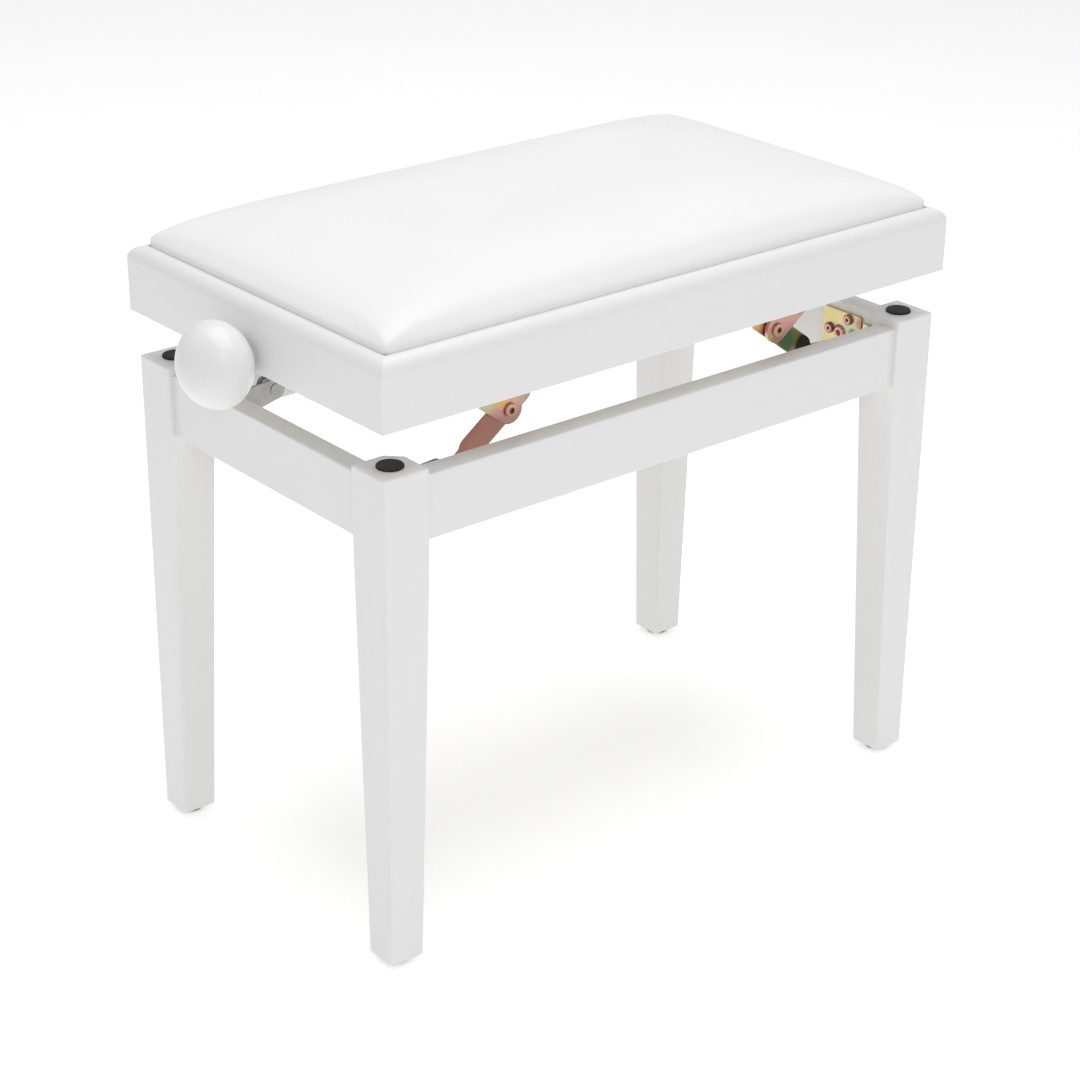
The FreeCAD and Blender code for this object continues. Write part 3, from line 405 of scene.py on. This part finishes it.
def round_corners(x, y, half_x, half_y, radius):
    """Bends the square corners of a plan into arcs."""
    a = np.clip((np.abs(x) - (half_x - radius)) / radius, 0, 1)
    b = np.clip((np.abs(y) - (half_y - radius)) / radius, 0, 1)
    both = (a > 0) & (b > 0)
    new_x = np.where(both, half_x - radius + radius * a * np.sqrt(1 - b * b / 2), np.abs(x))
    new_y = np.where(both, half_y - radius + radius * b * np.sqrt(1 - a * a / 2), np.abs(y))
    return np.sign(x) * new_x, np.sign(y) * new_y


def climb(inset):
    """Height gained between the edge and this far in, before scaling."""
    level_from = SLOPES[-1][0]
    grid = np.linspace(0, level_from, round(level_from / SLOPE_STEP) + 1)
    slope = np.interp(grid, *np.array(SLOPES, float).T)
    gained = np.concatenate([[0.0], np.cumsum((slope[1:] + slope[:-1]) / 2 * SLOPE_STEP)])
    return np.interp(inset / MM, grid, gained) * MM


def crown_height(x, y, half_x, half_y):
    """Height over the frame's top edge; the hips between the four slopes are eased."""
    dx, dy = half_x - np.abs(x), half_y - np.abs(y)
    from_end, from_side = climb(dx * END_SHARE), climb(dy)
    ease = EASE * np.clip(np.minimum(dx, dy) / FIRM_EDGE, LEAST_EASE, 1)
    blend = np.clip(0.5 + 0.5 * (from_side - from_end) / ease, 0, 1)
    height = from_side * (1 - blend) + from_end * blend - ease * blend * (1 - blend) * 0.5
    return EDGE + height * (FULL - EDGE) / height.max()


def cushion_form():
    """A closed quad mesh: crowned top, side wall down into the rebate, flat underside."""
    low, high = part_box("seat_rail_front")
    half_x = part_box("seat_rail_right")[1][0] - REBATE - EDGE_GAP
    half_y = -low[1] - REBATE - EDGE_GAP
    rim_z = high[2]
    grid_x, grid_y = np.meshgrid(edge_spacing(half_x), edge_spacing(half_y), indexing="ij")
    plan_x, plan_y = round_corners(grid_x, grid_y, half_x, half_y, CORNER)
    top_z = rim_z + EDGE + (crown_height(grid_x, grid_y, half_x, half_y) - EDGE) * SLACK
    nx, ny = grid_x.shape
    points = [np.stack([plan_x, plan_y, top_z], -1).reshape(-1, 3)]
    faces = []

    def index(i, j):
        return i * ny + j

    for i in range(nx - 1):
        for j in range(ny - 1):
            faces.append((index(i, j), index(i + 1, j), index(i + 1, j + 1), index(i, j + 1)))

    # the wall goes round the top's outline and down, ring by ring
    loop = [index(i, 0) for i in range(nx - 1)] + [index(nx - 1, j) for j in range(ny - 1)]
    loop += [index(i, ny - 1) for i in range(nx - 1, 0, -1)] + [index(0, j) for j in range(ny - 1, 0, -1)]
    previous = loop
    total = len(points[0])
    rim = points[0][loop]
    upper_z = rim[:, 2]
    for inset, height in WALL:
        ring = rim.copy()
        ring[:, 0] -= np.sign(rim[:, 0]) * inset * MM * (np.abs(rim[:, 0]) > half_x - CORNER)
        ring[:, 1] -= np.sign(rim[:, 1]) * inset * MM * (np.abs(rim[:, 1]) > half_y - CORNER)
        ring[:, 2] = np.minimum(rim_z + height * MM, upper_z - RING_DROP)
        upper_z = ring[:, 2]
        points.append(ring)
        current = list(range(total, total + len(loop)))
        total += len(loop)
        for k in range(len(loop)):
            after = (k + 1) % len(loop)
            faces.append((previous[k], current[k], current[after], previous[after]))
        previous = current

    # the underside repeats the top's grid, flat, inside the last ring
    under = np.stack([plan_x, plan_y, np.full_like(plan_x, rim_z + WALL[-1][1] * MM)], -1)[1:-1, 1:-1]
    points.append(under.reshape(-1, 3))
    where = {point: previous[k] for k, point in enumerate(loop)}
    for i in range(1, nx - 1):
        for j in range(1, ny - 1):
            where[index(i, j)] = total + (i - 1) * (ny - 2) + (j - 1)
    for i in range(nx - 1):
        for j in range(ny - 1):
            corner_points = (index(i, j), index(i, j + 1), index(i + 1, j + 1), index(i + 1, j))
            faces.append(tuple(where[p] for p in corner_points))
    mesh = bpy.data.meshes.new("seat_cushion")
    mesh.from_pydata(np.concatenate(points).tolist(), [], faces)
    mesh.validate()
    mesh.update()
    return mesh, (nx, ny), half_x, half_y, rim_z


def blow_up(piece, shape, half_x, half_y, rim_z):
    """Inflates the cover like stretched leatherette, held where the frame and the board hold it."""
    rest = np.array([v.co for v in piece.data.vertices])
    held = piece.vertex_groups.new(name="held")
    inset = np.minimum(half_x - np.abs(rest[:, 0]), half_y - np.abs(rest[:, 1]))
    on_top = rest[:, 2] > rim_z + TOP_FROM
    weight = np.where(on_top, np.clip(EDGE_HOLD - inset / HOLD_FADE, 0, 1), 1.0)
    for i, w in enumerate(weight):
        if w > 0:
            held.add([i], float(w), "REPLACE")
    cloth = piece.modifiers.new("cloth", "CLOTH")
    settings = cloth.settings
    settings.quality = 6
    settings.mass = 0.6
    settings.tension_stiffness = 30
    settings.compression_stiffness = 30
    settings.shear_stiffness = 12
    settings.bending_stiffness = 2.0
    settings.use_pressure = True
    settings.uniform_pressure_force = PRESSURE
    settings.effector_weights.gravity = 0
    settings.vertex_group_mass = held.name
    settings.pin_stiffness = 1.0
    cloth.collision_settings.use_collision = False
    cloth.point_cache.frame_start = 1
    cloth.point_cache.frame_end = SIM_FRAMES
    scene = bpy.context.scene
    for number in range(1, SIM_FRAMES + 1):
        scene.frame_set(number)
    evaluated = piece.evaluated_get(bpy.context.evaluated_depsgraph_get())
    blown = np.array([v.co for v in evaluated.data.vertices])
    piece.modifiers.remove(cloth)
    scene.frame_set(1)
    move = blown - rest
    move *= np.minimum(1.0, CAP / np.maximum(np.linalg.norm(move, axis=1, keepdims=True), 1e-9))
    top = move[:shape[0] * shape[1]].reshape(*shape, 3)
    for _ in range(CALM):
        around = (top[:-2, 1:-1] + top[2:, 1:-1] + top[1:-1, :-2] + top[1:-1, 2:]) / 4
        top[1:-1, 1:-1] = (top[1:-1, 1:-1] + around) / 2
    return rest + move


def make_cushion():
    mesh, shape, half_x, half_y, rim_z = cushion_form()
    cushion = bpy.data.objects.new("seat_cushion", mesh)
    bpy.context.scene.collection.objects.link(cushion)
    blown = blow_up(cushion, shape, half_x, half_y, rim_z)
    edge_z = rim_z + EDGE
    above = blown[:, 2] > edge_z
    scale = (FULL - EDGE) / (blown[:, 2].max() - edge_z)
    blown[above, 2] = edge_z + (blown[above, 2] - edge_z) * scale
    mesh.vertices.foreach_set("co", blown.astype(np.float32).ravel())
    mesh.update()
    for polygon in mesh.polygons:
        polygon.use_smooth = True
    smooth = cushion.modifiers.new("smooth", "SUBSURF")
    smooth.levels = smooth.render_levels = 1
    mesh.materials.append(LEATHERETTE)
    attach(cushion, "seat")
    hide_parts("seat_cover", "seat_foam")


make_cushion()


# ---------------------------------------------------------------- spindle with its two hands of thread
PITCH = 5 * MM
THREAD_DEPTH = 0.9 * MM
THREADED = (46 * MM, 152 * MM)         # each side of the middle, along X
ROOT_HALF = 0.14                       # half the width of the thread's root, in pitches
FLANK = 0.16                           # and the width of each flank
AROUND = 40                            # points in a ring
RINGS_PER_TURN = 10
END_RINGS = [(0.0, 1.0 * MM), (0.4 * MM, 0.5 * MM)]     # the bevel: in from the end, and off the radius
FULL_FROM = 1 * MM                     # in from the end, where the full radius begins


def make_spindle():
    low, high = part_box("spindle")
    radius = (high[1] - low[1]) / 2
    centre_z = (high[2] + low[2]) / 2
    stations = [low[0] + inset for inset, _ in END_RINGS]
    stations += list(np.arange(low[0] + FULL_FROM, high[0] - FULL_FROM, PITCH / RINGS_PER_TURN))
    stations += [high[0] - inset for inset, _ in reversed(END_RINGS)]
    bevel = {}
    for row, (_, taken_off) in enumerate(END_RINGS):
        bevel[row] = bevel[len(stations) - 1 - row] = taken_off
    vertices, faces = [], []
    for row, x in enumerate(stations):
        inside = THREADED[0] < abs(x) < THREADED[1]
        for k in range(AROUND):
            angle = 2 * math.pi * k / AROUND
            r = radius - bevel.get(row, 0.0)
            if inside:
                turn = (abs(x) / PITCH + math.copysign(1, x) * angle / (2 * math.pi)) % 1.0
                flank = min(max((abs(turn - 0.5) - ROOT_HALF) / FLANK, 0.0), 1.0)
                fade = min(1.0, (abs(x) - THREADED[0]) / PITCH, (THREADED[1] - abs(x)) / PITCH)
                r -= THREAD_DEPTH * (1 - flank) * fade
            vertices.append((x, r * math.cos(angle), centre_z + r * math.sin(angle)))
    for row in range(len(stations) - 1):
        for k in range(AROUND):
            after = (k + 1) % AROUND
            a, b = row * AROUND, (row + 1) * AROUND
            faces.append((a + k, a + after, b + after, b + k))
    faces.append(tuple(range(AROUND))[::-1])
    faces.append(tuple((len(stations) - 1) * AROUND + k for k in range(AROUND)))
    mesh = bpy.data.meshes.new("threaded_spindle")
    mesh.from_pydata(vertices, [], faces)
    mesh.validate()
    shape = bmesh.new()
    shape.from_mesh(mesh)
    bmesh.ops.recalc_face_normals(shape, faces=shape.faces)
    shape.to_mesh(mesh)
    shape.free()
    for polygon in mesh.polygons:
        polygon.use_smooth = len(polygon.vertices) == 4
    mesh.materials.append(STEEL)
    spindle = bpy.data.objects.new("threaded_spindle", mesh)
    bpy.context.scene.collection.objects.link(spindle)
    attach(spindle, "spindle")
    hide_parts("spindle")


make_spindle()


# ---------------------------------------------------------------- floor, light and camera
FLOOR_REACH = 60.0


def make_floor():
    """A white floor so wide that its far edge lies near the horizon."""
    g = Graph("floor_white")
    drift = g.noise(3.0, 2.0)
    g.set(Base_Color=g.ramp(drift, [(0.3, (0.87, 0.87, 0.87)), (0.7, (0.89, 0.89, 0.89))]), Roughness=0.7,
          Emission_Color=(1.0, 1.0, 1.0, 1.0), Emission_Strength=0.42)
    mesh = bpy.data.meshes.new("floor")
    corners = [(x * FLOOR_REACH, y * FLOOR_REACH, 0) for x, y in ((-1, -1), (1, -1), (1, 1), (-1, 1))]
    mesh.from_pydata(corners, [], [(0, 1, 2, 3)])
    mesh.materials.append(g.material)
    floor = bpy.data.objects.new("floor", mesh)
    bpy.context.scene.collection.objects.link(floor)


def make_light(name, position, target, size, power):
    data = bpy.data.lights.new(name, "AREA")
    data.shape = "RECTANGLE"
    data.size, data.size_y = size
    data.energy = power
    light = bpy.data.objects.new(name, data)
    aim = Vector(target) - Vector(position)
    light.matrix_world = Matrix.Translation(position) @ aim.to_track_quat("-Z", "Y").to_matrix().to_4x4()
    bpy.context.scene.collection.objects.link(light)


def make_world(strength):
    world = bpy.data.worlds.new("studio")
    world.use_nodes = True
    background = world.node_tree.nodes["Background"]
    background.inputs["Color"].default_value = (1.0, 1.0, 1.0, 1.0)
    background.inputs["Strength"].default_value = strength
    bpy.context.scene.world = world


# the photograph's own camera, fitted to the straight edges of the bench
CAMERA_AT = (-1.222704, -1.454192, 1.098427)
CAMERA_YAW = math.radians(39.958)
CAMERA_PITCH = math.radians(24.852)
CAMERA_ROLL = math.radians(0.562)
CAMERA_LENS = 86.035


def make_camera():
    forward = Vector((math.sin(CAMERA_YAW) * math.cos(CAMERA_PITCH),
                      math.cos(CAMERA_YAW) * math.cos(CAMERA_PITCH), -math.sin(CAMERA_PITCH)))
    level = Vector((math.cos(CAMERA_YAW), -math.sin(CAMERA_YAW), 0.0))
    upright = level.cross(forward)
    right = level * math.cos(CAMERA_ROLL) + upright * math.sin(CAMERA_ROLL)
    up = upright * math.cos(CAMERA_ROLL) - level * math.sin(CAMERA_ROLL)
    data = bpy.data.cameras.new("camera")
    data.sensor_fit = "HORIZONTAL"
    data.sensor_width = 36.0
    data.lens = CAMERA_LENS
    camera = bpy.data.objects.new("camera", data)
    turn = Matrix((right, up, -forward)).transposed().to_4x4()
    camera.matrix_world = Matrix.Translation(CAMERA_AT) @ turn
    bpy.context.scene.collection.objects.link(camera)
    bpy.context.scene.camera = camera


make_floor()
make_world(0.44)
make_light("overhead", (0.1, 0.0, 2.6), (0.0, 0.0, 0.4), size=(2.6, 2.2), power=39.0)
make_light("key", (-1.25, -1.75, 1.6), (-0.1, 0.0, 0.4), size=(1.0, 1.0), power=5.0)
make_camera()
bpy.context.scene.view_settings.view_transform = "Standard"
